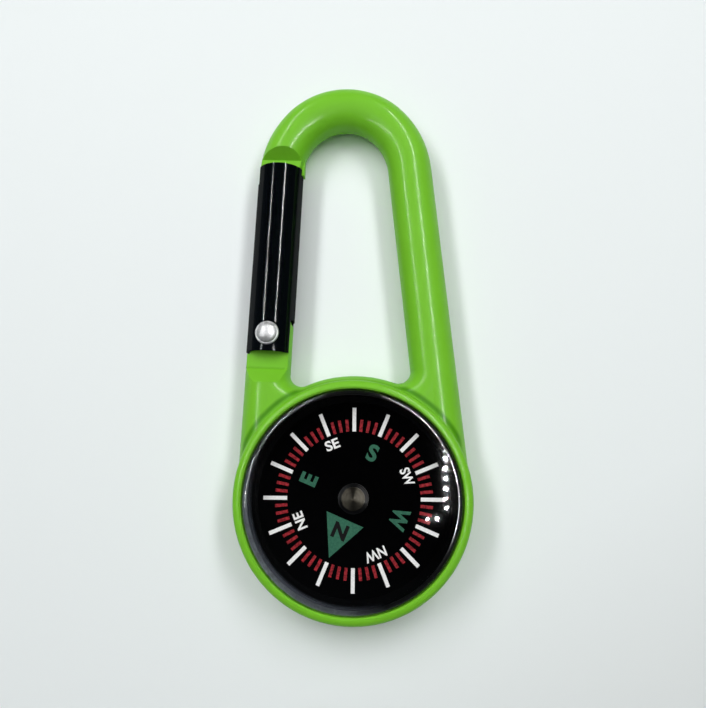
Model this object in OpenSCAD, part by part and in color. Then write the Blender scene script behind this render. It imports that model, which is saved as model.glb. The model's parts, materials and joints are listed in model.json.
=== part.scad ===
// Snap hook with a liquid compass in its lower end.
// Origin: the compass axis on the back face. +Z points out of the dial, +Y to the hook's arch.

/* [Hook] */
// Length over all, from the bezel's foot to the top of the arch
overall_l = 101; // [98:1:104]
// Thickness of the round limbs
limb_d = 8.4; // [8:0.1:8.8]
// Height of the limbs' middle plane over the back face
limb_z = 5.2; // [5:0.1:5.6]
// Radius of the arch's crown, on the limb's centre line
crown_r = 11.6; // [11:0.1:12]
// Radius of the arch's shoulders, on the limb's centre line
shoulder_r = 15.1; // [14.6:0.1:15.6]
// Angle that each shoulder turns through
shoulder_sweep = 41; // [38:1:44]
// Radius of the corners between limbs and bezel, seen from the front
root_fillet = 2.2; // [1.8:0.1:2.6]
// Bulge of the loop's lower edge beyond the bezel's wall
sill_out = 1.2; // [0.8:0.1:1.4]

/* [Bezel] */
// Diameter of the bezel ring
ring_d = 42.4; // [42:0.1:43]
// Height of the bezel's lip over the back face
ring_h = 10.2; // [10:0.1:10.8]
// Thickness of the back plate
plate_t = 1.3; // [1.2:0.1:1.5]
// Thickness of the bezel's wall round the capsule
bezel_wall = 1.6; // [1.4:0.1:1.8]
// Rounding of the lip's outer edge
lip_round = 1.3; // [1:0.1:1.35]
// Chamfer of the lip's inner edge
lip_chamfer = 0.25; // [0.1:0.05:0.4]
// Rounding of the back face's edge
foot_round = 1.2; // [0.8:0.1:1.6]
// Width of the groove in the limbs' tops along the bezel
groove_w = 0.65; // [0.5:0.05:0.8]
// Depth of that groove
groove_h = 1.1; // [0.9:0.05:1.2]

/* [Latch] */
// Height of the rivet over the corner between limb and bezel
pivot_rise = 7.1; // [6.9:0.1:7.4]
// Thickness of the flat nose and heel that the gate closes over
tongue_t = 3.5; // [3.4:0.1:4]
// Length of the ramp between round limb and flat heel
ramp_l = 2.9; // [2.6:0.1:3.2]
// Length of the steeper ramp between round limb and flat nose
nose_ramp_l = 1.9; // [1.7:0.1:2.2]
// Length of flat nose that shows over the sleeve's top
nose_bare = 1.6; // [1.3:0.1:1.7]
// Depth that the nose reaches into the sleeve
nose_reach = 2.8; // [2.4:0.1:3]
// Distance from the rivet's axis to the flat on the heel's cam
cam_h = 3.5; // [3.3:0.1:3.5]
// Width of the cam's flat, which is also the plunger's travel per radian
cam_rate = 1.6; // [1.4:0.1:1.8]
// Angle that the gate opens
gate_travel = 30; // [26:1:32]

/* [Gate] */
// Diameter of the rolled sleeve
sleeve_d = 8.7; // [8.5:0.1:8.9]
// Thickness of the sheet
sheet_t = 0.45; // [0.4:0.05:0.5]
// Height of the sleeve's top over the end of the straight limb
sleeve_rise = 0.9; // [0.6:0.1:1.2]
// Length of the sleeve below the rivet's axis
sleeve_tail = 3.3; // [3.1:0.1:3.5]
// Length of the slot at the nose, on the outer side
nose_slot_l = 3.4; // [3.2:0.1:3.8]
// Length of the slot at the heel, on the inner side
heel_slot_l = 6.3; // [6.2:0.1:6.4]
// Width of the gap where the rolled edges meet
seam_w = 0.25; // [0.15:0.05:0.4]
// Diameter of the rivet's shank
rivet_d = 2.4; // [2.2:0.1:2.6]
// Diameter of the rivet's domed head
head_d = 4.4; // [4.2:0.1:4.6]
// Height of the rivet's domed head
head_h = 1.1; // [0.9:0.1:1.3]
// Diameter of the rivet's closed end at the back
tail_d = 3.8; // [3.4:0.1:4.2]
// Height of the rivet's closed end at the back
tail_h = 0.6; // [0.5:0.1:0.8]

/* [Gate spring] */
// Diameter of the spring's wire
wire_d = 0.5; // [0.4:0.05:0.55]
// Outer diameter of the spring
spring_d = 5; // [4.6:0.1:5.4]
// Length of the spring with the gate shut, as a share of the sleeve's length
spring_share = 0.3; // [0.28:0.01:0.32]
// Number of curls
spring_curls = 8; // [6:1:9]
// Thickness of the plunger's head
plunger_t = 1.5; // [1.2:0.1:1.8]
// Diameter of the plunger's stem
stem_d = 2.4; // [2:0.1:2.8]
// Length of the plunger's stem
stem_l = 4; // [3:0.5:5]
// Thickness of the spring's stop
stop_t = 2; // [1.6:0.1:2.4]

/* [Capsule] */
// Thickness of the cup's wall
cup_wall = 0.9; // [0.8:0.05:1]
// Thickness of the cup's floor
cup_floor = 0.7; // [0.6:0.05:0.8]
// Height of the lens's edge over the bezel's lip
lens_stand = 0.2; // [0:0.05:0.4]
// Thickness of the seal
seal_t = 0.4; // [0.3:0.05:0.5]
// Thickness of the lens
lens_t = 1.5; // [1.4:0.1:1.7]
// Height that the dome rises from the lens's edge to its middle
dome_rise = 2; // [1.7:0.1:2.2]
// Rounding of the lens's edge
lens_round = 1.1; // [0.9:0.05:1.2]
// Diameter of the pivot pin
pin_d = 1; // [0.8:0.1:1.1]
// Length of the pin's point
point_l = 0.8; // [0.6:0.1:1]

/* [Card] */
// Direction of north on the card, measured from +X
north_angle = 245.5; // [0:0.5:359.5]
// Gap between the card's rim and the cup's wall
card_gap = 0.9; // [0.6:0.1:1.2]
// Thickness of the card
card_t = 0.5; // [0.4:0.05:0.6]
// Height of the card's face over the back face
card_z = 3.6; // [3.5:0.05:3.7]
// Diameter of the hub
hub_d = 5.6; // [5.2:0.1:6]
// Height of the hub over the card
hub_h = 0.7; // [0.6:0.05:0.8]
// Diameter of the bearing cap
cap_d = 4.2; // [4:0.1:4.4]
// Height of the bearing cap
cap_h = 1.5; // [1.4:0.1:1.7]
// Height of the cone on top of the bearing cap
cap_cone_h = 0.35; // [0.2:0.05:0.5]
// Length of the bar magnet, as a share of the card's diameter
magnet_share = 0.66; // [0.55:0.01:0.75]
// Width of the bar magnet
magnet_w = 6; // [5.6:0.2:6.4]
// Thickness of the bar magnet
magnet_t = 0.7; // [0.6:0.05:0.75]

/* [Dial marks] */
// Distance of the white marks from the card's rim
mark_margin = 1.05; // [0.8:0.05:1.2]
// Length of the white marks
white_l = 4.4; // [4.2:0.05:4.6]
// Length of the red marks
red_l = 2.25; // [2.1:0.05:2.4]
// Width of the white marks
white_w = 0.7; // [0.5:0.05:0.8]
// Width of the red marks
red_w = 0.56; // [0.4:0.02:0.6]
// Height of the marks over the card
mark_h = 0.12; // [0.08:0.02:0.16]
// Radius at which the north arrow's base lies
arrow_in_r = 4; // [3.6:0.1:4.4]
// Gap between the north arrow's tip and the ring of marks
arrow_gap = 0.85; // [0.6:0.05:1.1]
// Width of the north arrow's base
arrow_w = 7.3; // [6.8:0.1:7.8]

/* [Clearances] */
// Radial gap between the capsule and its pocket
capsule_gap = 0.1; // [0.05:0.01:0.15]
// Gap between the sleeve and the tongues inside it
tongue_gap = 0.2; // [0.15:0.05:0.25]
// Radial gap between the rivet and the heel's bore
bore_gap = 0.06; // [0.04:0.01:0.08]
// Gap between faces that bear on each other and move
slide_gap = 0.03; // [0.02:0.01:0.04]
// Radial gap of a piece pushed into another
press_gap = 0.01; // [0.01:0.005:0.02]

/* [Hidden] */
$fn = 96;

// One overrun serves all cuts
over = limb_d / 8;

limb_r = limb_d / 2;
ring_r = ring_d / 2;
pocket_r = ring_r - bezel_wall;
flat_z = tongue_t / 2;

// Curved stretches of the hook are this much slimmer and reach this far into the straight ones,
// so that no two round surfaces coincide where they join
join_step = limb_r * 0.004;
join_l = limb_r * 0.1;
curved_r = limb_r - join_step;

// The limbs' outer sides meet the bezel's rim, so their centre lines pass this far from the axis
limb_off = ring_r - limb_r - join_step;
crown_y = overall_l - ring_r - crown_r - limb_r;
slant = asin((limb_off - shoulder_r + (shoulder_r - crown_r) * cos(shoulder_sweep)) / crown_y);
// Length of the straight limb, from the point nearest the compass axis
limb_l = crown_y * cos(slant) - (shoulder_r - crown_r) * sin(shoulder_sweep);
crown_half = 90 - slant - shoulder_sweep;
shoulder_join = join_l / shoulder_r * 180 / PI;

// Corner between limb and bezel: the limb's round section turns about this point
fillet_x = limb_r + root_fillet;
sill_edge_r = ring_r + sill_out;
fillet_s = sqrt(pow(sill_edge_r + root_fillet, 2) - pow(limb_off - fillet_x, 2));
fillet_turn = 90 + asin((limb_off - fillet_x) / (sill_edge_r + root_fillet));
fillet_join = join_l / fillet_x * 180 / PI;
// The loop's lower edge is a round bar along the bezel, from corner to corner
sill_r = limb_r * 0.9;
sill_half = asin((limb_off - fillet_x) / (sill_edge_r + root_fillet)) + slant / 2;
// A flat web fills the valley between the straight limb and its corner, almost to the limb's top
web_h = 2 * limb_r * 0.985;
web_r = fillet_x - limb_r * 0.05;
web_s = ring_r * 0.55;

pivot_s = fillet_s + pivot_rise;
sleeve_r = sleeve_d / 2;
bore_r = sleeve_r - sheet_t;
sleeve_s = pivot_s - sleeve_tail;
sleeve_top = limb_l + sleeve_rise;
sleeve_l = sleeve_top - sleeve_s;
// Width of the slots that the flat tongues pass through
slot_w = tongue_t + 2 * tongue_gap;
tongue_r = bore_r - tongue_gap;

nose_end = sleeve_top - nose_reach;
nose_crease = sleeve_top + nose_bare;
// The heel's ramp ends at this share of the limb's radius, with a step up to the round limb
heel_step_share = 0.9;
heel_crease = pivot_s - norm([sleeve_tail, sleeve_r]) - 4 * tongue_gap;
// A rib on the inner side of the nose stops the sleeve's inner wall
lip_t = tongue_t * 0.55;
lip_out = limb_d * 0.06;
lip_notch = sleeve_d * 0.13;
lip_s = sleeve_top - lip_notch;
lip_l = limb_d * 0.55;

// Heel cam: a flat, then the curve that lifts a flat-faced follower evenly as the gate turns
cam_steps = 10;
// Above this height over the rivet the cam fits inside the sleeve
cam_neck = cam_h * 0.66;
cam_end = gate_travel + 2;
function lift(a) = cam_h + cam_rate * a * PI / 180;
function cam_point(a) = [lift(a) * sin(a) + cam_rate * cos(a), lift(a) * cos(a) - cam_rate * sin(a)];

// The sheet is pressed flat under the rivet's ends
pad_z = bore_r + sheet_t * 0.4;
pad_d = head_d * 1.1;

spring_s = pivot_s + cam_h + slide_gap + plunger_t;
spring_l = sleeve_l * spring_share;
stop_s = spring_s + spring_l;

cup_r = pocket_r - capsule_gap;
lens_z = ring_h + lens_stand - lens_t;
cup_top = lens_z - seal_t;
cup_h = cup_top - plate_t;
cup_floor_z = plate_t + cup_floor;
card_r = cup_r - cup_wall - card_gap;
magnet_l = 2 * card_r * magnet_share;
white_out_r = card_r - mark_margin;
mark_in_r = white_out_r - white_l;
red_out_r = mark_in_r + red_l;
arrow_out_r = mark_in_r - arrow_gap;
cap_z = card_z + hub_h;
pin_top = cap_z + cap_h * 0.45;
hollow_l = cap_h;
hollow_share = 1.25;

// Places a piece on the left limb: x towards the opening, y up the limb, z out of the dial
module on_left_limb() {
    translate([0, 0, limb_z])
        rotate([0, 0, -slant])
            translate([-limb_off, 0, 0])
                children();
}

// Places a piece on the card, with its +X to the card's north
module on_card() {
    rotate([0, 0, north_angle])
        children();
}

module rod(r, from, to) {
    translate([0, from, 0])
        rotate([-90, 0, 0])
            cylinder(r = r, h = to - from);
}

// A slab that fills the inner (side 1) or outer (side -1) half of the limb between two heights
module half_slab(side, from, to, t, reach) {
    translate([side > 0 ? 0 : -reach, from, -t / 2])
        cube([reach, to - from, t]);
}

module bezel() {
    rotate_extrude()
        difference() {
            union() {
                square([ring_r - foot_round, ring_h]);
                translate([0, foot_round])
                    square([ring_r, ring_h - foot_round - lip_round]);
                square([ring_r - lip_round, ring_h]);
                translate([ring_r - foot_round, foot_round])
                    circle(r = foot_round);
                translate([ring_r - lip_round, ring_h - lip_round])
                    circle(r = lip_round);
            }
            translate([-ring_r, -over])
                square([ring_r, ring_h + 2 * over]);
        }
}

module crown() {
    translate([0, crown_y, limb_z])
        rotate([0, 0, 90 - crown_half])
            rotate_extrude(angle = 2 * crown_half)
                translate([crown_r, 0])
                    circle(r = limb_r);
}

// The loop's lower edge
module sill() {
    translate([0, 0, limb_z])
        rotate([0, 0, 90 - sill_half])
            rotate_extrude(angle = 2 * sill_half)
                translate([sill_edge_r - sill_r, 0])
                    circle(r = sill_r);
}

// What the groove along the bezel takes from the limbs: a cone through the foot of the lip
module groove_cut() {
    groove_z = limb_z + limb_r - groove_h;
    rotate_extrude()
        polygon([
            [0, groove_z - groove_h],
            [ring_r - groove_w, groove_z - groove_h],
            [ring_r + groove_w, groove_z + groove_h],
            [ring_r + groove_w, ring_h + over],
            [0, ring_h + over]
        ]);
}

// The right shoulder of the arch
module shoulder() {
    translate([0, crown_y, limb_z])
        rotate([0, 0, slant + shoulder_sweep])
            translate([crown_r - shoulder_r, 0, 0])
                rotate([0, 0, -shoulder_sweep - shoulder_join])
                    rotate_extrude(angle = shoulder_sweep + 2 * shoulder_join)
                        translate([shoulder_r, 0])
                            circle(r = curved_r);
}

// The limb's section turned about the corner's centre, down into the bezel
module root_corner() {
    translate([fillet_x, fillet_s, 0])
        rotate([0, 0, 180 - fillet_join])
            rotate_extrude(angle = fillet_turn + fillet_join)
                translate([fillet_x, 0])
                    circle(r = curved_r);
}

// Fills the valley between the limb and its corner
module root_web() {
    linear_extrude(height = web_h, center = true)
        difference() {
            translate([0, web_s])
                square([fillet_x, fillet_s - web_s]);
            translate([fillet_x, fillet_s])
                circle(r = web_r);
        }
}

// Cuts both faces of the limb down to the tongue, with a ramp at its end
module tongue_cut(ramp_top, crease, far, top_z) {
    for (side = [0, 1])
        mirror([0, 0, side])
            rotate([90, 0, 90])
                linear_extrude(height = 3 * limb_d, center = true)
                    polygon([
                        [ramp_top, limb_r + over],
                        [ramp_top, top_z],
                        [crease, flat_z],
                        [far, flat_z],
                        [far, limb_r + over]
                    ]);
}

module cam_outline() {
    translate([0, pivot_s])
        polygon(concat(
            [[0, cam_h]],
            [for (i = [0 : cam_steps]) cam_point(cam_end * i / cam_steps)],
            [[limb_r, cam_h * 0.5], [limb_r, -sleeve_tail - limb_r], [0, -sleeve_tail - limb_r]]
        ));
}

module heel() {
    // Inner half, with the cam's curve on its end
    intersection() {
        linear_extrude(height = tongue_t, center = true)
            cam_outline();
        union() {
            rod(limb_r, sleeve_s - limb_d, pivot_s + cam_neck);
            rod(tongue_r, sleeve_s, pivot_s + limb_d);
        }
    }
    // Outer half, round about the rivet so that the sleeve's wall swings past it
    intersection() {
        half_slab(-1, sleeve_s - limb_r, pivot_s + limb_d, tongue_t, limb_d);
        union() {
            rod(tongue_r, sleeve_s - limb_r, pivot_s);
            translate([0, pivot_s, 0])
                sphere(r = tongue_r);
        }
        linear_extrude(height = tongue_t, center = true)
            union() {
                translate([0, pivot_s])
                    circle(r = cam_h);
                translate([-limb_r, sleeve_s - limb_r])
                    square([limb_d, sleeve_tail + limb_r]);
            }
    }
}

module nose_lip() {
    intersection() {
        translate([lip_out, 0, 0])
            rod(limb_r, lip_s + tongue_gap / 2, lip_s + lip_l);
        half_slab(1, lip_s, lip_s + lip_l, lip_t, limb_d);
    }
}

module left_side() {
    // Round leg, cut down to the heel
    difference() {
        rod(limb_r, 0, sleeve_s - 2 * tongue_gap);
        tongue_cut(heel_crease - ramp_l, heel_crease, sleeve_s + limb_d, limb_r * heel_step_share);
    }
    heel();
    rod_root();
    // Straight part of the nose
    difference() {
        rod(limb_r, nose_end, limb_l);
        nose_cuts();
    }
    nose_lip();
}

module rod_root() {
    difference() {
        union() {
            root_corner();
            root_web();
        }
        tongue_cut(heel_crease - ramp_l, heel_crease, sleeve_s + limb_d, limb_r * heel_step_share);
    }
}

module nose_cuts() {
    tongue_cut(nose_crease + nose_ramp_l, nose_crease, nose_end - over, limb_r);
    // The inner half of the nose fits inside the sleeve's wall
    difference() {
        half_slab(1, nose_end - over, sleeve_top + tongue_gap, 3 * limb_d, limb_d);
        rod(tongue_r, nose_end - 2 * over, sleeve_top + over);
    }
}

module pocket() {
    rotate_extrude()
        polygon([
            [0, plate_t],
            [pocket_r, plate_t],
            [pocket_r, ring_h - lip_chamfer],
            [pocket_r + lip_chamfer + over, ring_h + over],
            [0, ring_h + over]
        ]);
}

module carabiner_body() {
    color("yellowgreen")
        difference() {
            union() {
                bezel();
                sill();
                crown();
                shoulder();
                difference() {
                    mirror([1, 0, 0])
                        shoulder();
                    on_left_limb()
                        nose_cuts();
                }
                difference() {
                    union() {
                        on_left_limb()
                            left_side();
                        mirror([1, 0, 0])
                            on_left_limb() {
                                rod(limb_r, 0, limb_l);
                                root_corner();
                                root_web();
                            }
                    }
                    groove_cut();
                }
            }
            pocket();
            on_left_limb()
                translate([0, pivot_s, -limb_r])
                    cylinder(d = rivet_d + 2 * bore_gap, h = limb_d);
        }
}

module gate_sleeve() {
    color("#15161a")
        on_left_limb()
            difference() {
                union() {
                    difference() {
                        rod(sleeve_r, sleeve_s, sleeve_top);
                        rod(bore_r, sleeve_s - over, sleeve_top + over);
                        // Sheet pushed flat under the rivet's ends
                        for (side = [1, -1])
                            translate([0, pivot_s, side * (pad_z + over)])
                                cylinder(d = pad_d, h = 2 * over, center = true);
                    }
                    for (side = [1, -1])
                        intersection() {
                            translate([0, pivot_s, side * (pad_z - sheet_t / 2)])
                                cylinder(d = pad_d, h = sheet_t, center = true);
                            rod(sleeve_r, sleeve_s, sleeve_top);
                        }
                }
                // Slot for the nose, on the outer side
                half_slab(-1, sleeve_top - nose_slot_l, sleeve_top + over, slot_w, sleeve_d);
                // Notch for the rib of the nose, on the inner side
                half_slab(1, lip_s, sleeve_top + over, lip_t + 2 * tongue_gap, sleeve_d);
                // Slot for the heel, on the inner side
                half_slab(1, sleeve_s - over, sleeve_s + heel_slot_l, slot_w, sleeve_d);
                // Seam of the rolled sheet, on the outer side
                half_slab(-1, sleeve_s - over, sleeve_top + over, seam_w, sleeve_d);
                translate([0, pivot_s, -sleeve_d])
                    cylinder(d = rivet_d + 2 * press_gap, h = 2 * sleeve_d);
            }
}

// Part of a ball, as a dome of the given base and height
module dome(base_d, h) {
    ball_r = (pow(base_d / 2, 2) + pow(h, 2)) / (2 * h);
    rotate_extrude()
        intersection() {
            translate([0, h - ball_r])
                circle(r = ball_r);
            square([base_d / 2, h]);
        }
}

module gate_rivet() {
    color("silver")
        on_left_limb()
            translate([0, pivot_s, 0]) {
                translate([0, 0, -pad_z])
                    cylinder(d = rivet_d, h = 2 * pad_z);
                translate([0, 0, pad_z])
                    dome(head_d, head_h);
                translate([0, 0, -pad_z])
                    rotate([180, 0, 0])
                        dome(tail_d, tail_h);
            }
}

module gate_plunger() {
    color("gray")
        on_left_limb() {
            rod(bore_r - tongue_gap / 2, pivot_s + cam_h + slide_gap, spring_s);
            rod(stem_d / 2, spring_s - plunger_t / 2, spring_s + stem_l);
        }
}

// Rings of six points along the spring, joined into one closed tube
module coil(mean_r, wire_r, h, curls, rings_per_curl) {
    sides = 6;
    steps = curls * rings_per_curl;
    rise = (h - 2 * wire_r) / steps;
    pitch_slope = atan2(rise * rings_per_curl, 2 * PI * mean_r);
    function centre(i) = [
        mean_r * cos(360 * i / rings_per_curl),
        mean_r * sin(360 * i / rings_per_curl),
        wire_r + rise * i
    ];
    function across(i) = [cos(360 * i / rings_per_curl), sin(360 * i / rings_per_curl), 0];
    function up(i) = [
        sin(360 * i / rings_per_curl) * sin(pitch_slope),
        -cos(360 * i / rings_per_curl) * sin(pitch_slope),
        cos(pitch_slope)
    ];
    points = [for (i = [0 : steps]) for (k = [0 : sides - 1])
        centre(i) + wire_r * (cos(360 * k / sides) * across(i) + sin(360 * k / sides) * up(i))];
    walls = [for (i = [0 : steps - 1]) for (k = [0 : sides - 1]) for (half = [0, 1])
        let (a = i * sides + k, b = i * sides + (k + 1) % sides)
            half == 0 ? [a, a + sides, b] : [b, a + sides, b + sides]];
    ends = concat(
        [for (k = [1 : sides - 2]) [0, k, k + 1]],
        [for (k = [1 : sides - 2]) [steps * sides, steps * sides + k + 1, steps * sides + k]]
    );
    polyhedron(points = points, faces = concat(walls, ends), convexity = curls);
}

module gate_spring() {
    color("lightgray")
        on_left_limb()
            translate([0, spring_s, 0])
                rotate([-90, 0, 0])
                    coil((spring_d - wire_d) / 2, wire_d / 2, spring_l, spring_curls, 12);
}

module spring_stop() {
    color("dimgray")
        on_left_limb()
            rod(bore_r - press_gap, stop_s, stop_s + stop_t);
}

module capsule_cup() {
    color("#0a0a0c")
        difference() {
            translate([0, 0, plate_t])
                cylinder(r = cup_r, h = cup_h);
            translate([0, 0, cup_floor_z])
                cylinder(r = cup_r - cup_wall, h = cup_h);
            translate([0, 0, plate_t - over])
                cylinder(d = pin_d + 2 * press_gap, h = cup_h);
        }
}

module lens_seal() {
    color("#202020")
        translate([0, 0, cup_top])
            difference() {
                cylinder(r = cup_r, h = seal_t);
                translate([0, 0, -over])
                    cylinder(r = cup_r - cup_wall, h = seal_t + 2 * over);
            }
}

module capsule_lens() {
    dome_base = cup_r - lens_round;
    outer_r = (pow(dome_base, 2) + pow(dome_rise, 2)) / (2 * dome_rise);
    color("lightcyan", 0.3)
        translate([0, 0, lens_z])
            rotate_extrude()
                difference() {
                    intersection() {
                        union() {
                            intersection() {
                                translate([0, lens_t + dome_rise - outer_r])
                                    circle(r = outer_r, $fn = 720);
                                square([dome_base, lens_t + dome_rise]);
                            }
                            square([cup_r, lens_t - lens_round]);
                            square([dome_base, lens_t]);
                            translate([dome_base, lens_t - lens_round])
                                circle(r = lens_round);
                        }
                        square([cup_r, lens_t + dome_rise]);
                    }
                    intersection() {
                        translate([0, lens_t + dome_rise - outer_r])
                            circle(r = outer_r - lens_t, $fn = 720);
                        translate([-over, -over])
                            square([cup_r - cup_wall + over, lens_t + dome_rise + over]);
                    }
                }
}

module pivot_pin() {
    color("silver")
        translate([0, 0, plate_t]) {
            cylinder(d = pin_d, h = pin_top - point_l - plate_t);
            translate([0, 0, pin_top - point_l - plate_t])
                cylinder(d1 = pin_d, d2 = 0, h = point_l);
        }
}

module compass_card() {
    color("#0d0d10")
        translate([0, 0, card_z - card_t])
            difference() {
                cylinder(r = card_r, h = card_t);
                translate([0, 0, -over])
                    cylinder(d = hub_d / 2, h = card_t + 2 * over);
            }
}

module card_hub() {
    color("#050505")
        translate([0, 0, card_z])
            difference() {
                cylinder(d = hub_d, h = hub_h);
                translate([0, 0, -over])
                    cylinder(d = hub_d / 2, h = hub_h + 2 * over);
            }
}

module bearing_cap() {
    color("darkgray")
        translate([0, 0, cap_z])
            difference() {
                union() {
                    cylinder(d = cap_d, h = cap_h - cap_cone_h);
                    translate([0, 0, cap_h - cap_cone_h])
                        cylinder(d1 = cap_d, d2 = cap_d / 8, h = cap_cone_h);
                }
                // Hollow that sits on the pin's point, and is wider than it
                translate([0, 0, pin_top + slide_gap - cap_z - hollow_l])
                    cylinder(d1 = pin_d * hollow_l / point_l * hollow_share, d2 = 0, h = hollow_l);
            }
}

module card_magnet() {
    color("slategray")
        on_card()
            translate([0, 0, card_z - card_t - magnet_t])
                difference() {
                    intersection() {
                        cylinder(d = magnet_l, h = magnet_t);
                        translate([-magnet_l / 2, -magnet_w / 2, 0])
                            cube([magnet_l, magnet_w, magnet_t]);
                    }
                    translate([0, 0, -over])
                        cylinder(d = hub_d / 2, h = magnet_t + 2 * over);
                }
}

// A mark that lies on the card from one radius to another
module mark(from, to, w) {
    translate([from, -w / 2, card_z])
        cube([to - from, w, mark_h]);
}

module white_ticks() {
    color("white")
        on_card()
            for (a = [0 : 22.5 : 337.5])
                rotate([0, 0, a])
                    mark(mark_in_r, white_out_r, white_w);
}

module red_ticks() {
    color("firebrick")
        on_card()
            for (a = [0 : 22.5 : 337.5])
                for (k = [1 : 3])
                    rotate([0, 0, a + k * 22.5 / 4])
                        mark(mark_in_r, red_out_r, red_w);
}

module north_arrow() {
    color("seagreen")
        on_card()
            translate([0, 0, card_z])
                linear_extrude(height = mark_h)
                    polygon([[arrow_in_r, -arrow_w / 2], [arrow_out_r, 0], [arrow_in_r, arrow_w / 2]]);
}

carabiner_body();
gate_sleeve();
gate_rivet();
gate_plunger();
gate_spring();
spring_stop();
capsule_cup();
lens_seal();
capsule_lens();
pivot_pin();
compass_card();
card_hub();
bearing_cap();
card_magnet();
white_ticks();
red_ticks();
north_arrow();
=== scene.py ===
# %% [markdown]
# # A snap hook compass
# This lesson dresses a snap hook compass: a lime green moulded hook, a rolled sheet gate on a rivet,
# and a black liquid capsule with a floating card. The shapes come packed from the CAD model, in
# metres, and stay where they are. Blender adds the finishes, the stamped letters, the wound spring
# and the light.

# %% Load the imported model
import json
import math
import bpy
from mathutils import Matrix, Vector


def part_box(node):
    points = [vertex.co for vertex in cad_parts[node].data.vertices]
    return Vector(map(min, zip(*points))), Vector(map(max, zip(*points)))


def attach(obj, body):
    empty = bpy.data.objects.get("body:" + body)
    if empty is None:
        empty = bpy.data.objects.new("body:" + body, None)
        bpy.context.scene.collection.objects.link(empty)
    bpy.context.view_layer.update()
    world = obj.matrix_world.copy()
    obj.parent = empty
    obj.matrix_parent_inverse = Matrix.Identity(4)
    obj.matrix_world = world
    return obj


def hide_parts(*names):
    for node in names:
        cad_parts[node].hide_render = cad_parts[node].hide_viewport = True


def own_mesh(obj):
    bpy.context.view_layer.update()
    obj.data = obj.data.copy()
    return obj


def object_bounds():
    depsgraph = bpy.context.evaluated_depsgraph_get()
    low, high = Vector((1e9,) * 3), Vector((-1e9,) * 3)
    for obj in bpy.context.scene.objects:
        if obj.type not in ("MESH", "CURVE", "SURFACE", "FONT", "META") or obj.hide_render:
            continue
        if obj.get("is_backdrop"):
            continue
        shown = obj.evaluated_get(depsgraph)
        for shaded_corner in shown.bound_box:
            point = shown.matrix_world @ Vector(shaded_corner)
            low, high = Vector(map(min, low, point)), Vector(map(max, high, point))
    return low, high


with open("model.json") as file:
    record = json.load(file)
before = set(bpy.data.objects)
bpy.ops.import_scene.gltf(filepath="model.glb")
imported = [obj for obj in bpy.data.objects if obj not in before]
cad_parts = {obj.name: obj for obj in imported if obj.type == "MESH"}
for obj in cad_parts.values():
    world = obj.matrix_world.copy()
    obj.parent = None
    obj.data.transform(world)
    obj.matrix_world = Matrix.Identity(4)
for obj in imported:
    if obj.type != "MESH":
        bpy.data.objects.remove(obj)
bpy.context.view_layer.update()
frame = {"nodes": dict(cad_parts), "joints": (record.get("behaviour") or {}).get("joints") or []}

nodes = frame["nodes"]
print("nodes:", ", ".join(sorted(nodes)))

# %% [markdown]
# ## Units, patterns and colours
# The real object is measured in millimetres and Blender's unit is the metre, so one named factor
# turns one into the other. A noise pattern's scale counts its grains along one metre, so here grains
# are counted along one millimetre of the real surface and turned the same way. Colours are written
# as they look on a screen, in hex, and one function turns them into the linear values of shaders.

# %% Units and colours
MM = 0.001


def per_mm(grains):
    """The scale of a pattern with so many grains along a millimetre."""
    return grains / MM


def to_linear(hex_colour):
    """A screen colour such as "76C232" as linear red, green, blue and alpha."""
    parts = [int(hex_colour[i:i + 2], 16) / 255 for i in (0, 2, 4)]
    linear = [p / 12.92 if p <= 0.04045 else ((p + 0.055) / 1.055) ** 2.4 for p in parts]
    return (*linear, 1.0)


print("one grain to a millimetre is scale", per_mm(1))
print("mid grey, linear:", [round(part, 3) for part in to_linear("808080")])

# %% [markdown]
# ## Building materials
# Every finish is a small tree of nodes. It could be wired by hand in the shader editor, but one
# function that adds a node with its settings and links keeps a tree to a few lines. All patterns
# read Object coordinates, which are the CAD model's own metres, so they stay on the surface.

# %% Nodes and materials


def add_node(tree, kind, settings=None, links=None):
    """Adds one node: settings are attributes or socket values, links are outputs to plug in."""
    node = tree.nodes.new(kind)
    for name, value in (settings or {}).items():
        if isinstance(name, str) and hasattr(node, name):
            setattr(node, name, value)
        else:
            node.inputs[name].default_value = value
    for name, output in (links or {}).items():
        tree.links.new(output, node.inputs[name])
    return node


def new_material(name):
    """An empty node material and its output node."""
    material = bpy.data.materials.new(name)
    material.use_nodes = True
    material.node_tree.nodes.clear()
    output = add_node(material.node_tree, "ShaderNodeOutputMaterial")
    return material, material.node_tree, output


# %% [markdown]
# ## The camera
# The photo was taken with a phone about 13 cm above the dial, held slightly askew. A fit of the
# bezel's ring, the hook's outline and the dial's marks gives its place and tilt. The picture is
# 706 by 708 pixels with a focal length of 690 pixels.

# %% Camera
FOCAL_PX = 690
PHOTO_H_PX = 708
CAMERA_MM = Vector((7.198, 4.785, 132.394))
TILT, YAW, ROLL = -9.6423, -3.1937, 1.4170

world_to_view = (
    Matrix.Rotation(math.radians(TILT), 4, "X")
    @ Matrix.Rotation(math.radians(YAW), 4, "Y")
    @ Matrix.Rotation(math.radians(ROLL), 4, "Z")
)
camera_data = bpy.data.cameras.new("phone")
camera_data.sensor_width = 36
camera_data.lens = FOCAL_PX / PHOTO_H_PX * camera_data.sensor_width
camera_data.clip_start = 0.01
camera = bpy.data.objects.new("phone", camera_data)
camera.matrix_world = Matrix.Translation(CAMERA_MM * MM) @ world_to_view.inverted()
bpy.context.scene.collection.objects.link(camera)
bpy.context.scene.camera = camera
print("camera", [round(v, 4) for v in camera.location], "lens", round(camera_data.lens, 2), "mm")
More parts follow.
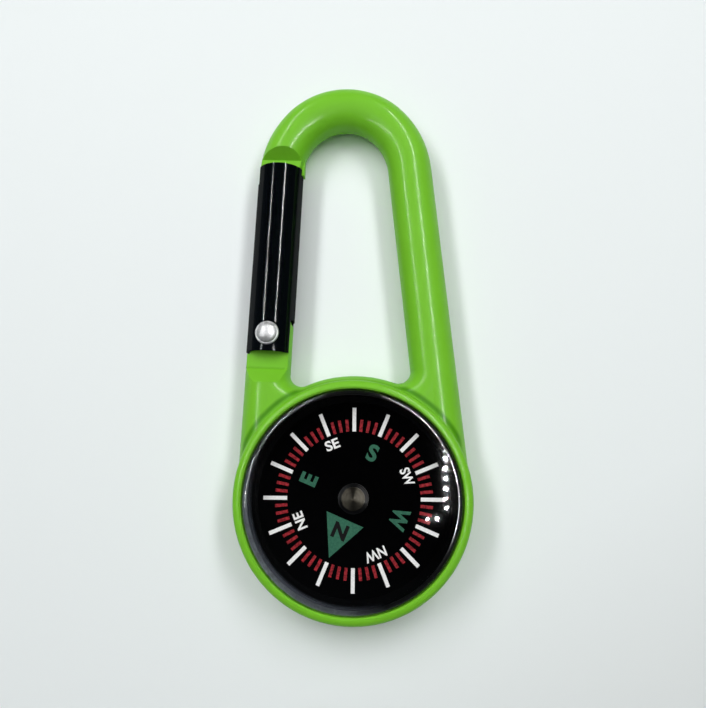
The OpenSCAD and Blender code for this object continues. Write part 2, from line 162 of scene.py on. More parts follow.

# %% [markdown]
# ## The table
# The hook lies on a sheet of pale card. Its colour is painted greyer towards its lower right corner:
# painted shade, where the lamps' light falls off. Its fibres only dull it, so they are drawn coarser
# than real ones, at about a millimetre. A bigger lamp could light the far card too, but would flatten
# the shadows. Instead the far card is an even pale backdrop to the camera, to gloss and to clear
# pieces, and the near card keeps its shadows.

# %% Table
TABLE_M = 3
BELOW_MM = 0.02

bpy.ops.object.select_all(action="DESELECT")
bpy.ops.mesh.primitive_plane_add(size=TABLE_M, location=(0, 0, 0))
table = bpy.context.object
table.name = "table"
for vertex in table.data.vertices:
    vertex.co.z = -BELOW_MM * MM
table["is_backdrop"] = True
print("table of", TABLE_M, "m,", BELOW_MM, "mm under the hook")

# %% The near card
paper, tree, output = new_material("white_card")
where = add_node(tree, "ShaderNodeTexCoord").outputs["Object"]
fibres = add_node(tree, "ShaderNodeTexNoise", {"Scale": per_mm(0.9), "Detail": 4}, {"Vector": where})
bump = add_node(tree, "ShaderNodeBump", {"Strength": 0.15, "Distance": 0.05 * MM},
                {"Height": fibres.outputs["Fac"]})
# Painted shade: the card's colour turns greyer towards its lower right corner, where the lamps' light
# falls off
toward = add_node(tree, "ShaderNodeVectorMath", {"operation": "DOT_PRODUCT", 1: (0.5, -0.85, 0)},
                  {0: where})
shaded_corner = add_node(tree, "ShaderNodeMapRange", {"From Min": 25 * MM, "From Max": 80 * MM},
                  {"Value": toward.outputs["Value"]})
painted_shade = add_node(tree, "ShaderNodeMix",
                 {"data_type": "RGBA", "A": to_linear("F2F8F8"), "B": to_linear("E3E8E7")},
                 {"Factor": shaded_corner.outputs["Result"]})
shader = add_node(tree, "ShaderNodeBsdfPrincipled", {"Roughness": 0.85, "Specular IOR Level": 0.2},
                  {"Base Color": painted_shade.outputs["Result"], "Normal": bump.outputs["Normal"]})
print("the near card has", len(tree.nodes), "nodes")

# %% The far card, as an even backdrop
BACKDROP = "F2F8F8"
BACKDROP_LEVEL = 0.9
MIDDLE_MM = 30
BACKDROP_FROM_MM, BACKDROP_FULL_MM = 100, 210

rays = add_node(tree, "ShaderNodeLightPath")
seen = add_node(tree, "ShaderNodeMath", {"operation": "ADD"},
                {0: rays.outputs["Is Camera Ray"], 1: rays.outputs["Is Glossy Ray"]})
seen = add_node(tree, "ShaderNodeMath", {"operation": "ADD", "use_clamp": True},
                {0: seen.outputs["Value"], 1: rays.outputs["Is Transmission Ray"]})
away = add_node(tree, "ShaderNodeVectorMath", {"operation": "DISTANCE", 1: (0, MIDDLE_MM * MM, 0)},
                {0: where})
far = add_node(tree, "ShaderNodeMapRange",
               {"From Min": BACKDROP_FROM_MM * MM, "From Max": BACKDROP_FULL_MM * MM},
               {"Value": away.outputs["Value"]})
plain = add_node(tree, "ShaderNodeMath", {"operation": "MULTIPLY"},
                 {0: far.outputs["Result"], 1: seen.outputs["Value"]})
backdrop = add_node(tree, "ShaderNodeEmission",
                    {"Color": to_linear(BACKDROP), "Strength": BACKDROP_LEVEL})
mixed = add_node(tree, "ShaderNodeMixShader", {},
                 {0: plain.outputs["Value"], 1: shader.outputs["BSDF"],
                  2: backdrop.outputs["Emission"]})
tree.links.new(mixed.outputs["Shader"], output.inputs["Surface"])
table.data.materials.append(paper)
print(paper.name, "has", len(tree.nodes), "nodes")

# %% [markdown]
# ## The light
# One set of lamps could do everything, but small bright lamps make a noisy picture. So two jobs are
# kept apart. Large soft lamps, which gloss doesn't see, give the even light and the soft shadows.
# Rows of small bright squares, which gloss alone sees, are what the round limbs, the sleeve and the
# dome show. The right row hangs high, with two lamps more at its near corner. The left row hangs
# low, and steps outwards beside the dial.

# %% Soft lamps


def area_lamp(name, place_mm, aim_mm, size_mm, power):
    """A rectangular lamp at a place in millimetres, long along Y, facing a point."""
    data = bpy.data.lights.new(name, "AREA")
    data.shape = "RECTANGLE"
    data.size = size_mm[0] * MM
    data.size_y = size_mm[1] * MM
    data.energy = power
    lamp = bpy.data.objects.new(name, data)
    place = Vector(place_mm) * MM
    back = (place - Vector(aim_mm) * MM).normalized()
    side = Vector((0, 1, 0)).cross(back).normalized()
    up = back.cross(side)
    turn = Matrix((side, up, back)).transposed().to_4x4()
    lamp.matrix_world = Matrix.Translation(place) @ turn
    lamp.visible_glossy = False
    bpy.context.scene.collection.objects.link(lamp)


area_lamp("left_row_soft", (-215, 215, 400), aim_mm=(0, 30, 0), size_mm=(85, 380), power=0.92)
area_lamp("right_row_soft", (215, 215, 400), aim_mm=(0, 30, 0), size_mm=(85, 380), power=0.87)
area_lamp("ceiling_soft", (0, 60, 420), aim_mm=(0, 60, 0), size_mm=(500, 500), power=0.9)

# %% A row of small lamps, as gloss shows it
led_white, tree, output = new_material("led_white")
glow = add_node(tree, "ShaderNodeEmission", {"Color": to_linear("FFFFFF"), "Strength": 1200.0})
tree.links.new(glow.outputs["Emission"], output.inputs["Surface"])


def led_row(name, led_mm, start_mm, step_mm, count):
    """A row of small square lamps over the table, seen by gloss alone."""
    bpy.ops.object.select_all(action="DESELECT")
    bpy.ops.mesh.primitive_plane_add(size=led_mm * MM, location=(0, 0, 0))
    row = bpy.context.object
    row.name = name
    row.data.transform(Matrix.Translation(Vector(start_mm) * MM))
    repeat = row.modifiers.new("row", "ARRAY")
    repeat.use_relative_offset = False
    repeat.use_constant_offset = True
    repeat.constant_offset_displace = Vector(step_mm) * MM
    repeat.count = count
    bpy.ops.object.modifier_apply(modifier="row")
    row.data.materials.append(led_white)
    row.visible_camera = False
    row.visible_diffuse = False
    row.visible_shadow = False
    row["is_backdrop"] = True
    print(name, "has", count, "lamps of", led_mm, "mm")


# %% The right row, high over the table
RIGHT_LED_MM = 5.5
RIGHT_STEP_MM = 21
RIGHT_Z_MM = 355

led_row("right_leds", RIGHT_LED_MM, (186, -36, RIGHT_Z_MM), (0, RIGHT_STEP_MM, 0), count=30)
led_row("corner_leds", RIGHT_LED_MM, (140, -57, RIGHT_Z_MM), (22, 0, 0), count=2)

# %% The left row, low and nearer
LEFT_LED_MM = 1.87
LEFT_STEP_MM = 8.4
LEFT_Z_MM = 142

led_row("left_leds", LEFT_LED_MM, (-99.8, 62, LEFT_Z_MM), (0, LEFT_STEP_MM, 0), count=33)
led_row("left_low_leds", LEFT_LED_MM, (-117.8, -5, LEFT_Z_MM), (0, LEFT_STEP_MM, 0), count=8)

# %% [markdown]
# ## The room
# Gloss needs a room to show. A picture of a room could do it, but two ramps are enough: the walls
# are pale low down and brighter towards the lower left, which fills the lens's edge, and the ceiling
# is dark, which keeps the dial and the lacquer black. The room doesn't light dull surfaces. The
# camera, and what it sees through clear pieces, has the card's backdrop there instead.

# %% Room
WINDOW_SIDE = (-0.6, -0.8, 0.0)

room = bpy.data.worlds.new("pale_walls_dark_ceiling")
room.use_nodes = True
tree = room.node_tree
direction = add_node(tree, "ShaderNodeTexCoord").outputs["Generated"]
parts = add_node(tree, "ShaderNodeSeparateXYZ", {}, {"Vector": direction})
wall = add_node(tree, "ShaderNodeMapRange",
                {"From Min": 0.15, "From Max": 0.5, "To Min": 0.2, "To Max": 0.02},
                {"Value": parts.outputs["Z"]})
facing = add_node(tree, "ShaderNodeVectorMath", {"operation": "DOT_PRODUCT", 1: WINDOW_SIDE},
                  {0: direction})
window = add_node(tree, "ShaderNodeMapRange",
                  {"From Min": 0.0, "From Max": 0.9, "To Min": 0.25, "To Max": 1.8},
                  {"Value": facing.outputs["Value"]})
level = add_node(tree, "ShaderNodeMath", {"operation": "MULTIPLY"},
                 {0: wall.outputs["Result"], 1: window.outputs["Result"]})
walls = tree.nodes["Background"]
walls.inputs["Color"].default_value = to_linear("E2ECF8")
tree.links.new(level.outputs["Value"], walls.inputs["Strength"])
print("walls of", room.name)

# %% The backdrop behind the object
rays = add_node(tree, "ShaderNodeLightPath")
seen = add_node(tree, "ShaderNodeMath", {"operation": "ADD", "use_clamp": True},
                {0: rays.outputs["Is Camera Ray"], 1: rays.outputs["Is Transmission Ray"]})
backdrop = add_node(tree, "ShaderNodeBackground",
                    {"Color": to_linear(BACKDROP), "Strength": BACKDROP_LEVEL})
mixed = add_node(tree, "ShaderNodeMixShader", {},
                 {0: seen.outputs["Value"], 1: walls.outputs["Background"],
                  2: backdrop.outputs["Background"]})
tree.links.new(mixed.outputs["Shader"], tree.nodes["World Output"].inputs["Surface"])
# The world is the scene's before its visibility is set, or Blender prints an error
bpy.context.scene.world = room
room.cycles_visibility.diffuse = False
bpy.context.scene.view_settings.view_transform = "Standard"
print("world", bpy.context.scene.world.name, "has", len(tree.nodes), "nodes")

# %% [markdown]
# ## Shared masks
# A few groups of nodes come back in several finishes: a mottle of two colours, the distance from an
# upright axis, and a soft line where a measure passes a value. Each is written once. Images could
# hold such masks too, but numbers in millimetres stay sharp at any distance.

# %% Mottle, distance and line


def mottled(tree, where, grains, detail, dark, light):
    """A colour between dark and light that drifts in grains, so many to a millimetre."""
    noise = add_node(tree, "ShaderNodeTexNoise", {"Scale": per_mm(grains), "Detail": detail},
                     {"Vector": where})
    tint = add_node(tree, "ShaderNodeMix",
                    {"data_type": "RGBA", "A": to_linear(dark), "B": to_linear(light)},
                    {"Factor": noise.outputs["Fac"]})
    return tint.outputs["Result"]


def from_axis(tree, where, centre=(0, 0, 0)):
    """The distance in metres from an upright axis through the centre."""
    offset = add_node(tree, "ShaderNodeVectorMath", {"operation": "SUBTRACT", 1: centre}, {0: where})
    flat = add_node(tree, "ShaderNodeVectorMath", {"operation": "MULTIPLY", 1: (1, 1, 0)},
                    {0: offset.outputs["Vector"]})
    length = add_node(tree, "ShaderNodeVectorMath", {"operation": "LENGTH"},
                      {0: flat.outputs["Vector"]})
    return length.outputs["Value"]


def soft_line(tree, measure, middle, half_mm, fade_mm, inside, outside):
    """One value where the measure is near the middle, and another past the fade."""
    offset = add_node(tree, "ShaderNodeMath", {"operation": "SUBTRACT", 1: middle}, {0: measure})
    gap = add_node(tree, "ShaderNodeMath", {"operation": "ABSOLUTE"}, {0: offset.outputs["Value"]})
    line = add_node(tree, "ShaderNodeMapRange",
                    {"From Min": half_mm * MM, "From Max": fade_mm * MM,
                     "To Min": inside, "To Max": outside},
                    {"Value": gap.outputs["Value"]})
    return line.outputs["Result"]


def wear(material, *names):
    """The named CAD nodes get this finish."""
    for name in names:
        mesh = nodes[name].data
        mesh.materials.clear()
        mesh.materials.append(material)
    print(material.name, "on", ", ".join(names))


# %% [markdown]
# ## Lime green moulding
# The hook is one piece of coloured nylon or ABS, moulded with a fine satin skin. The pigment is even
# but not perfectly so, and the mould leaves a faint orange peel of about 0.7 mm, which breaks up the
# soft gloss. The peel is far too shallow to model, so it is bump. A low sheen with a thin coat of
# high index keeps the faces satin and the lamps' lines crisp. The corner between bezel and limbs,
# and the crease where the heel's flat meets its ramp, read as darker lines, so both get painted
# shade: soft lines of a darker green where shade falls.

# %% The gate's own line, from the imported joint
slide = next(joint for joint in frame["joints"] if joint["name"] == "plunger_slide")
pin = Vector(slide["pos_m"])
along = Vector(slide["axis"]).normalized()
print("rivet at", [round(v / MM, 2) for v in pin], "mm, sleeve along", [round(v, 3) for v in along])

# %% Where the green gets painted shade
CORNER_R_MM = 21.75
CORNER_FROM_MM, CORNER_FULL_MM = 7.4, 8.2
CREASE_BELOW_PIN_MM = 6.26
LEFT_LIMB_MM = -12

green_plastic, tree, output = new_material("lime_green_moulded_plastic")
where = add_node(tree, "ShaderNodeTexCoord").outputs["Object"]
parts = add_node(tree, "ShaderNodeSeparateXYZ", {}, {"Vector": where})
# Painted shade: a soft line of darker green round the corner between the bezel and the limbs, on their
# upper part
shaded_corner = soft_line(tree, from_axis(tree, where), CORNER_R_MM * MM, half_mm=0.15, fade_mm=0.7,
                   inside=1.0, outside=0.0)
upper = add_node(tree, "ShaderNodeMapRange",
                 {"From Min": CORNER_FROM_MM * MM, "From Max": CORNER_FULL_MM * MM},
                 {"Value": parts.outputs["Z"]})
corner_shade_line = add_node(tree, "ShaderNodeMath", {"operation": "MULTIPLY"},
                       {0: shaded_corner, 1: upper.outputs["Result"]})
height = add_node(tree, "ShaderNodeVectorMath", {"operation": "DOT_PRODUCT", 1: along}, {0: where})
# Painted shade: a soft line of darker green along the crease of the left limb's heel
crease_shade = soft_line(tree, height.outputs["Value"], pin.dot(along) - CREASE_BELOW_PIN_MM * MM,
                   half_mm=0.08, fade_mm=0.32, inside=0.3, outside=0.0)
left_limb = add_node(tree, "ShaderNodeMath", {"operation": "LESS_THAN", 1: LEFT_LIMB_MM * MM},
                     {0: parts.outputs["X"]})
crease_shade_line = add_node(tree, "ShaderNodeMath", {"operation": "MULTIPLY"},
                     {0: crease_shade, 1: left_limb.outputs["Value"]})
shade_lines = add_node(tree, "ShaderNodeMath", {"operation": "MAXIMUM"},
                 {0: corner_shade_line.outputs["Value"], 1: crease_shade_line.outputs["Value"]})
print("the two darker lines take", len(tree.nodes), "nodes")

# %% Green plastic
tint = mottled(tree, where, 0.16, 3, "74C126", "7CC931")
# Painted shade: the darker green 4A9208 goes where the two lines are
colour = add_node(tree, "ShaderNodeMix", {"data_type": "RGBA", "B": to_linear("4A9208")},
                  {"Factor": shade_lines.outputs["Value"], "A": tint})
peel = add_node(tree, "ShaderNodeTexNoise", {"Scale": per_mm(1.5), "Detail": 4}, {"Vector": where})
bump = add_node(tree, "ShaderNodeBump", {"Strength": 1.0, "Distance": 0.028 * MM},
                {"Height": peel.outputs["Fac"]})
gloss = add_node(tree, "ShaderNodeMapRange", {"To Min": 0.34, "To Max": 0.46},
                 {"Value": peel.outputs["Fac"]})
shader = add_node(tree, "ShaderNodeBsdfPrincipled",
                  {"Specular IOR Level": 0.1, "Coat Weight": 0.065, "Coat Roughness": 0.16,
                   "Coat IOR": 2.2},
                  {"Base Color": colour.outputs["Result"], "Roughness": gloss.outputs["Result"],
                   "Normal": bump.outputs["Normal"], "Coat Normal": bump.outputs["Normal"]})
tree.links.new(shader.outputs["BSDF"], output.inputs["Surface"])
wear(green_plastic, "carabiner_body")

# %% [markdown]
# ## Black lacquered sheet
# The gate is mild steel sheet, rolled to a tube and coated with gloss black lacquer. The eye sees a
# black with hardly any sheen of its own and two bright lines that waver a little. A plain smooth
# coat would draw them dead straight, so the coat has fine ripples, more than two to a millimetre.

# %% Black lacquer
lacquer, tree, output = new_material("black_lacquered_steel_sheet")
where = add_node(tree, "ShaderNodeTexCoord").outputs["Object"]
ripples = add_node(tree, "ShaderNodeTexNoise", {"Scale": per_mm(2.6), "Detail": 5}, {"Vector": where})
bump = add_node(tree, "ShaderNodeBump", {"Strength": 1.0, "Distance": 0.012 * MM},
                {"Height": ripples.outputs["Fac"]})
shader = add_node(tree, "ShaderNodeBsdfPrincipled",
                  {"Base Color": to_linear("05080C"), "Roughness": 0.3, "Specular IOR Level": 0.0,
                   "Coat Weight": 0.08, "Coat Roughness": 0.08, "Coat IOR": 2.5},
                  {"Coat Normal": bump.outputs["Normal"]})
tree.links.new(shader.outputs["BSDF"], output.inputs["Surface"])
wear(lacquer, "gate_sleeve")

# %% [markdown]
# ## Metals
# The rivet is soft steel with a bright plating. Its head was formed by a press, which leaves a
# dented satin dome and a pressed line round its rim, both as bump. The pieces inside are turned from
# plain steel. The bearing cap is turned from nickel silver. Its rings spread each lamp into a fan,
# which many modelled grooves could do too, but anisotropic gloss does it in one setting. The rings
# themselves are drawn coarser than real ones, so that they show. The cap's colour is darker than the
# bare metal's, matched to the photo.

# %% Rivet steel
RIM_R_MM = 1.88

rivet_steel, tree, output = new_material("bright_plated_steel")
where = add_node(tree, "ShaderNodeTexCoord").outputs["Object"]
dents = add_node(tree, "ShaderNodeTexNoise", {"Scale": per_mm(1.9), "Detail": 4}, {"Vector": where})
bump = add_node(tree, "ShaderNodeBump", {"Strength": 1.0, "Distance": 0.07 * MM},
                {"Height": dents.outputs["Fac"]})
low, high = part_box("gate_rivet")
pressed = soft_line(tree, from_axis(tree, where, (low + high) / 2), RIM_R_MM * MM, half_mm=0.0,
                    fade_mm=0.16, inside=0.0, outside=1.0)
rim = add_node(tree, "ShaderNodeBump", {"Strength": 1.0, "Distance": 0.16 * MM},
               {"Height": pressed, "Normal": bump.outputs["Normal"]})
tint = add_node(tree, "ShaderNodeMix",
                {"data_type": "RGBA", "A": to_linear("808285"), "B": to_linear("DEDEDE")},
                {"Factor": dents.outputs["Fac"]})
shader = add_node(tree, "ShaderNodeBsdfPrincipled", {"Metallic": 0.85, "Roughness": 0.46},
                  {"Base Color": tint.outputs["Result"], "Normal": rim.outputs["Normal"]})
tree.links.new(shader.outputs["BSDF"], output.inputs["Surface"])
wear(rivet_steel, "gate_rivet")

# %% Inner steel
inner_steel, tree, output = new_material("turned_steel")
where = add_node(tree, "ShaderNodeTexCoord").outputs["Object"]
grain = add_node(tree, "ShaderNodeTexNoise", {"Scale": per_mm(1.5), "Detail": 2}, {"Vector": where})
gloss = add_node(tree, "ShaderNodeMapRange", {"To Min": 0.25, "To Max": 0.4},
                 {"Value": grain.outputs["Fac"]})
shader = add_node(tree, "ShaderNodeBsdfPrincipled",
                  {"Base Color": to_linear("B4B5B8"), "Metallic": 1.0},
                  {"Roughness": gloss.outputs["Result"]})
tree.links.new(shader.outputs["BSDF"], output.inputs["Surface"])
wear(inner_steel, "gate_plunger", "gate_spring", "spring_stop", "pivot_pin", "card_magnet")

# %% Bearing cap
# At this scale the rings of a Wave texture lie 0.56 mm apart
RINGS_SCALE = 560

cap_metal, tree, output = new_material("turned_nickel_silver")
where = add_node(tree, "ShaderNodeTexCoord").outputs["Object"]
rings = add_node(tree, "ShaderNodeTexWave",
                 {"wave_type": "RINGS", "rings_direction": "Z", "Scale": RINGS_SCALE},
                 {"Vector": where})
bump = add_node(tree, "ShaderNodeBump", {"Strength": 1.0, "Distance": 0.02 * MM},
                {"Height": rings.outputs["Fac"]})
around = add_node(tree, "ShaderNodeTangent", {"direction_type": "RADIAL", "axis": "Z"})
shader = add_node(tree, "ShaderNodeBsdfPrincipled",
                  {"Base Color": to_linear("423F38"), "Metallic": 1.0, "Roughness": 0.4,
                   "Anisotropic": 0.85, "Anisotropic Rotation": 0.25},
                  {"Normal": bump.outputs["Normal"], "Tangent": around.outputs["Tangent"]})
tree.links.new(shader.outputs["BSDF"], output.inputs["Surface"])
wear(cap_metal, "bearing_cap")

# %% [markdown]
# ## The gate's spring
# The real spring is hard drawn steel wire, wound in eight open turns inside the sleeve. It shortens
# as the gate opens, which the stiff solid can't do. Here a ring of the wire's own size is wound by
# the Screw modifier on the solid's own line, closed at both ends, and hung on the gate in place of
# the solid.

# %% The spring's place, from the imported solid
WIRE_R_MM = 0.25
TURNS = 8

points = [vertex.co - pin for vertex in nodes["gate_spring"].data.vertices]
heights = [point.dot(along) for point in points]
reach = max((point - along * point.dot(along)).length for point in points)
foot = pin + along * min(heights)
stop = pin + along * max(heights)
spring_length = (stop - foot).length
print("spring", round(spring_length / MM, 2), "mm long and", round(2 * reach / MM, 2), "mm wide")

# %% Wind the spring
bpy.ops.object.select_all(action="DESELECT")
bpy.ops.mesh.primitive_circle_add(vertices=12, radius=WIRE_R_MM * MM, rotation=(math.pi / 2, 0, 0),
                                  location=(reach - WIRE_R_MM * MM, 0, WIRE_R_MM * MM))
coil = bpy.context.object
coil.name = "gate_coil"
bpy.ops.object.transform_apply(location=True, rotation=True, scale=True)
winding = coil.modifiers.new("winding", "SCREW")
winding.axis = "Z"
winding.angle = 2 * math.pi
winding.screw_offset = (spring_length - 2 * WIRE_R_MM * MM) / TURNS
winding.iterations = TURNS
winding.steps = 32
winding.render_steps = 32
bpy.ops.object.modifier_apply(modifier="winding")
print(coil.name, "is wound in", TURNS, "turns")

# %% Close its ends and set it in the sleeve
bpy.ops.object.mode_set(mode="EDIT")
bpy.ops.mesh.select_all(action="SELECT")
bpy.ops.mesh.remove_doubles(threshold=0.001 * MM)
bpy.ops.mesh.select_all(action="DESELECT")
bpy.ops.mesh.select_non_manifold()
bpy.ops.mesh.fill_holes(sides=0)
bpy.ops.mesh.select_all(action="SELECT")
bpy.ops.mesh.normals_make_consistent(inside=False)
bpy.ops.object.mode_set(mode="OBJECT")
bpy.ops.object.shade_smooth_by_angle(angle=math.radians(40))
lean = Vector((0, 0, 1)).rotation_difference(along).to_matrix().to_4x4()
coil.data.transform(Matrix.Translation(foot) @ lean)
coil.data.materials.append(inner_steel)
print(coil.name, "has", len(coil.data.polygons), "faces")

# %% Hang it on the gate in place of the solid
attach(coil, "gate")
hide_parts("gate_spring")
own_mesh(coil)

# %% [markdown]
# ## The capsule
# The cup is gloss black plastic and the seal is dull rubber. The capsule's edge shows dull and grey
# at its lower left, where light falls on the cup's inner wall. That could be a separate grey ring, but
# it shows no thickness of its own, so it is painted light: one mask for both pieces that grows
# towards that side. It is a colour on the surface and turns with the object.

# %% The side with painted light


def painted_light_side(tree, where):
    """From 0 to 1 towards the capsule's lower left: the mask of painted light that turns the edge grey.
    """
    toward = add_node(tree, "ShaderNodeVectorMath",
                      {"operation": "DOT_PRODUCT", 1: (-0.78, -0.62, 0.0)}, {0: where})
    painted_light = add_node(tree, "ShaderNodeMapRange", {"From Min": 7 * MM, "From Max": 19 * MM},
                    {"Value": toward.outputs["Value"]})
    return painted_light.outputs["Result"]


# %% Cup
# The painted light covers the cup's wall from this height upwards
LIT_WALL_FROM_MM, LIT_WALL_FULL_MM = 4.6, 7.4

cup_plastic, tree, output = new_material("gloss_black_plastic")
where = add_node(tree, "ShaderNodeTexCoord").outputs["Object"]
swirl = add_node(tree, "ShaderNodeTexNoise", {"Scale": per_mm(0.7), "Detail": 2}, {"Vector": where})
gloss = add_node(tree, "ShaderNodeMapRange", {"To Min": 0.12, "To Max": 0.22},
                 {"Value": swirl.outputs["Fac"]})
parts = add_node(tree, "ShaderNodeSeparateXYZ", {}, {"Vector": where})
upper = add_node(tree, "ShaderNodeMapRange",
                 {"From Min": LIT_WALL_FROM_MM * MM, "From Max": LIT_WALL_FULL_MM * MM},
                 {"Value": parts.outputs["Z"]})
# Painted light: the cup's upper wall turns grey towards its lower left, where light falls on it
painted_light_share = add_node(tree, "ShaderNodeMath", {"operation": "MULTIPLY"},
                      {0: upper.outputs["Result"], 1: painted_light_side(tree, where)})
tint = add_node(tree, "ShaderNodeMix",
                {"data_type": "RGBA", "A": to_linear("08090B"), "B": to_linear("757D8A")},
                {"Factor": painted_light_share.outputs["Value"]})
shader = add_node(tree, "ShaderNodeBsdfPrincipled", {"IOR": 1.5, "Specular IOR Level": 0.3},
                  {"Base Color": tint.outputs["Result"], "Roughness": gloss.outputs["Result"]})
tree.links.new(shader.outputs["BSDF"], output.inputs["Surface"])
wear(cup_plastic, "capsule_cup")

# %% Seal
seal_rubber, tree, output = new_material("dull_black_rubber")
where = add_node(tree, "ShaderNodeTexCoord").outputs["Object"]
grain = add_node(tree, "ShaderNodeTexNoise", {"Scale": per_mm(3), "Detail": 2}, {"Vector": where})
bump = add_node(tree, "ShaderNodeBump", {"Strength": 0.2, "Distance": 0.01 * MM},
                {"Height": grain.outputs["Fac"]})
patchy = add_node(tree, "ShaderNodeMapRange", {"To Min": 0.5, "To Max": 1.3},
                  {"Value": grain.outputs["Fac"]})
# Painted light: the seal turns grey in patches towards its lower left, where light falls on it
painted_light_share = add_node(tree, "ShaderNodeMath", {"operation": "MULTIPLY"},
                      {0: patchy.outputs["Result"], 1: painted_light_side(tree, where)})
tint = add_node(tree, "ShaderNodeMix",
                {"data_type": "RGBA", "A": to_linear("050608"), "B": to_linear("6C727A")},
                {"Factor": painted_light_share.outputs["Value"]})
shader = add_node(tree, "ShaderNodeBsdfPrincipled", {"Roughness": 0.6, "Specular IOR Level": 0.05},
                  {"Base Color": tint.outputs["Result"], "Normal": bump.outputs["Normal"]})
tree.links.new(shader.outputs["BSDF"], output.inputs["Surface"])
wear(seal_rubber, "lens_seal")

# %% [markdown]
# ## Card and hub
# The card is a thin black disc in the liquid, where it shows next to no gloss, so its sheen is
# turned off. The hub shows a faint fan of light, as a piece turned or moulded in rings would, and
# has it from the same anisotropic gloss as the cap.

# %% Card
card_black, tree, output = new_material("satin_black_card")
where = add_node(tree, "ShaderNodeTexCoord").outputs["Object"]
tint = mottled(tree, where, 1.8, 3, "010101", "030304")
shader = add_node(tree, "ShaderNodeBsdfPrincipled", {"Roughness": 0.5, "Specular IOR Level": 0.0},
                  {"Base Color": tint})
tree.links.new(shader.outputs["BSDF"], output.inputs["Surface"])
wear(card_black, "compass_card")

# %% Hub
hub_black, tree, output = new_material("satin_black_hub")
where = add_node(tree, "ShaderNodeTexCoord").outputs["Object"]
tint = mottled(tree, where, 1.5, 3, "060708", "0C0D0F")
around = add_node(tree, "ShaderNodeTangent", {"direction_type": "RADIAL", "axis": "Z"})
shader = add_node(tree, "ShaderNodeBsdfPrincipled",
                  {"Roughness": 0.32, "Specular IOR Level": 0.4, "Anisotropic": 0.9,
                   "Anisotropic Rotation": 0.25},
                  {"Base Color": tint, "Tangent": around.outputs["Tangent"]})
tree.links.new(shader.outputs["BSDF"], output.inputs["Surface"])
wear(hub_black, "card_hub")

# %% [markdown]
# ## Stamped inks
# The marks and letters are taken as hot stamped foil. A flat colour would look too clean, because
# the foil takes unevenly, in patches of less than half a millimetre, which show most in the red. So
# every ink is a steep mottle of two near colours.

# %% Inks


def ink(name, dark, light):
    """A hot stamped ink: an even colour with a mottle where the foil took unevenly."""
    material, tree, output = new_material(name)
    where = add_node(tree, "ShaderNodeTexCoord").outputs["Object"]
    noise = add_node(tree, "ShaderNodeTexNoise", {"Scale": per_mm(2.4), "Detail": 2},
                     {"Vector": where})
    patches = add_node(tree, "ShaderNodeMapRange", {"From Min": 0.35, "From Max": 0.65},
                       {"Value": noise.outputs["Fac"]})
    tint = add_node(tree, "ShaderNodeMix",
                    {"data_type": "RGBA", "A": to_linear(dark), "B": to_linear(light)},
                    {"Factor": patches.outputs["Result"]})
    shader = add_node(tree, "ShaderNodeBsdfPrincipled",
                      {"Roughness": 0.6, "Specular IOR Level": 0.1},
                      {"Base Color": tint.outputs["Result"]})
    tree.links.new(shader.outputs["BSDF"], output.inputs["Surface"])
    return material


white_ink = ink("white_foil", "F2F4F2", "FFFFFF")
red_ink = ink("red_foil", "6C1019", "B22832")
teal_ink = ink("luminous_green_foil", "2C6450", "367258")
black_ink = ink("black_foil", "050505", "0A0A0C")
wear(white_ink, "white_ticks")
wear(red_ink, "red_ticks")
wear(teal_ink, "north_arrow")

# %% [markdown]
# ## The lens
# The lens is clear acrylic over clear liquid. A glass shader could bend the light at each face, but
# acrylic and liquid bend it nearly alike. So light passes straight to the card, and the outer face
# alone mirrors the lamps, more at a shallow angle. The dome is polished and shows each lamp as a
# dot. The rounded edge is hazier, and mirrors a lamp from its outer and its inner face, which draws
# bright lines round the rim.

# %% The lens's rounded edge
LENS_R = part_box("capsule_lens")[1].x
EDGE_FROM_MM, EDGE_FULL_MM = 1.15, 1.0

clear_acrylic, tree, output = new_material("clear_acrylic")
where = add_node(tree, "ShaderNodeTexCoord").outputs["Object"]
edge = add_node(tree, "ShaderNodeMapRange",
                {"From Min": LENS_R - EDGE_FROM_MM * MM, "From Max": LENS_R - EDGE_FULL_MM * MM},
                {"Value": from_axis(tree, where)})
edge_haze = add_node(tree, "ShaderNodeMapRange", {"To Min": 0.03, "To Max": 0.12},
                     {"Value": edge.outputs["Result"]})
faces = add_node(tree, "ShaderNodeMapRange", {"To Min": 1.0, "To Max": 1.6},
                 {"Value": edge.outputs["Result"]})
print("lens radius", round(LENS_R / MM, 2), "mm, its edge the outer", EDGE_FULL_MM, "mm")

# %% Clear acrylic
# Acrylic's own index is 1.49, raised here to match how strongly the lens mirrors in the photo
MIRROR_IOR = 1.65

bend = add_node(tree, "ShaderNodeFresnel", {"IOR": MIRROR_IOR})
mirrored = add_node(tree, "ShaderNodeMath", {"operation": "MULTIPLY", "use_clamp": True},
                    {0: bend.outputs["Fac"], 1: faces.outputs["Result"]})
side = add_node(tree, "ShaderNodeNewGeometry")
outer = add_node(tree, "ShaderNodeMath", {"operation": "SUBTRACT", 0: 1.0},
                 {1: side.outputs["Backfacing"]})
share = add_node(tree, "ShaderNodeMath", {"operation": "MULTIPLY"},
                 {0: mirrored.outputs["Value"], 1: outer.outputs["Value"]})
ripple = add_node(tree, "ShaderNodeTexNoise", {"Scale": per_mm(2.2), "Detail": 2}, {"Vector": where})
bump = add_node(tree, "ShaderNodeBump", {"Strength": 0.5, "Distance": 0.002 * MM},
                {"Height": ripple.outputs["Fac"]})
mirror = add_node(tree, "ShaderNodeBsdfGlossy", {},
                  {"Roughness": edge_haze.outputs["Result"], "Normal": bump.outputs["Normal"]})
through = add_node(tree, "ShaderNodeBsdfTransparent", {"Color": (1, 1, 1, 1)})
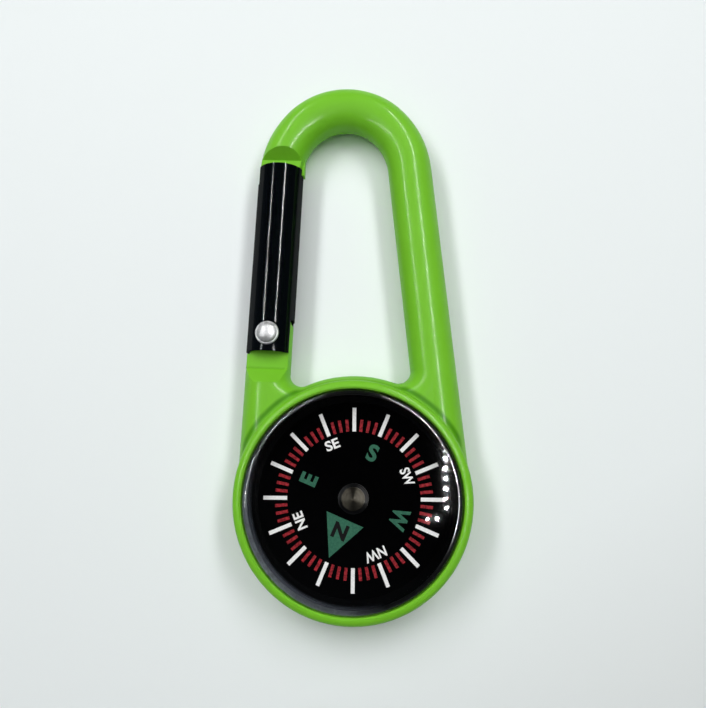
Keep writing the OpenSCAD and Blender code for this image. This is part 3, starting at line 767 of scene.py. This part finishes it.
mixed = add_node(tree, "ShaderNodeMixShader", {},
                 {0: share.outputs["Value"], 1: through.outputs["BSDF"], 2: mirror.outputs["BSDF"]})
tree.links.new(mixed.outputs["Shader"], output.inputs["Surface"])
wear(clear_acrylic, "capsule_lens")

# %% [markdown]
# ## The card's letters
# The letters are stamped foil, a few hundredths of a millimetre thick. They could be a mask in the
# card's colour, but a mesh keeps their edges crisp. They are made as text, turned into meshes, and
# set round the card with their tops outwards, as one reads them when the card brings each to the
# top. Each is stretched to the width that it has in the photo.

# %% A stamped letter
# The way to north on the resting card, in degrees round from +X
NORTH_ANGLE = 245.5
CARD_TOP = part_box("compass_card")[1].z
FOIL_MM = 0.03
# The height of a capital, as a share of its text's size
CAPITAL_SHARE = 0.7


def letter(name, words, material, size_mm, radius_mm, clockwise, weight_mm,
           lift_mm=FOIL_MM, narrow=1.0):
    """Stamps a word on the card at a radius, turned clockwise from north by so many degrees."""
    bpy.ops.object.select_all(action="DESELECT")
    bpy.ops.object.text_add(location=(0, 0, 0))
    text = bpy.context.object
    text.data.body = words
    text.data.align_x = "CENTER"
    text.data.align_y = "CENTER"
    text.data.size = size_mm * MM / CAPITAL_SHARE
    text.data.offset = weight_mm * MM
    text.data.extrude = FOIL_MM * MM
    bpy.ops.object.convert(target="MESH")
    word = bpy.context.object
    word.name = name
    low = Vector((min(v.co.x for v in word.data.vertices), min(v.co.y for v in word.data.vertices), 0))
    high = Vector((max(v.co.x for v in word.data.vertices), max(v.co.y for v in word.data.vertices), 0))
    word.data.transform(Matrix.Translation(-(low + high) / 2))
    stretch = size_mm * MM / (high.y - low.y)
    word.data.transform(Matrix.Diagonal((narrow * stretch, stretch, 1, 1)))
    angle = math.radians(NORTH_ANGLE - clockwise)
    place = Vector((math.cos(angle), math.sin(angle), 0)) * radius_mm * MM
    place.z = CARD_TOP + lift_mm * MM
    word.data.transform(Matrix.Translation(place) @ Matrix.Rotation(angle - math.pi / 2, 4, "Z"))
    word.data.materials.append(material)
    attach(word, "card")


# %% The letters, clockwise from north
NORTH_MM, BIG_MM, SMALL_MM = 2.9, 3.2, 1.9
NORTH_R, BIG_R, SMALL_R = 6.3, 9.0, 10.6
ARROW_TOP_MM = 0.13

letter("letter_n", "N", black_ink, NORTH_MM, NORTH_R, clockwise=0,
       weight_mm=0.18, lift_mm=ARROW_TOP_MM)
for quarter, (words, narrow) in enumerate([("E", 1.0), ("S", 1.0), ("W", 0.82)], start=1):
    letter("letter_" + words.lower(), words, teal_ink, BIG_MM, BIG_R,
           clockwise=90 * quarter, weight_mm=0.17, narrow=narrow)
for quarter, (words, narrow) in enumerate([("NE", 1.0), ("SE", 1.12), ("SW", 0.84), ("NW", 0.86)]):
    letter("letters_" + words.lower(), words, white_ink, SMALL_MM, SMALL_R,
           clockwise=45 + 90 * quarter, weight_mm=0.07, narrow=narrow)

# %% [markdown]
# The dressed model's box, without the table and the lamps, is measured and printed.

# %% Print the dressed model's box
low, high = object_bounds()
print("visual box", [round(v * 1000, 2) for v in (high - low)], "mm")
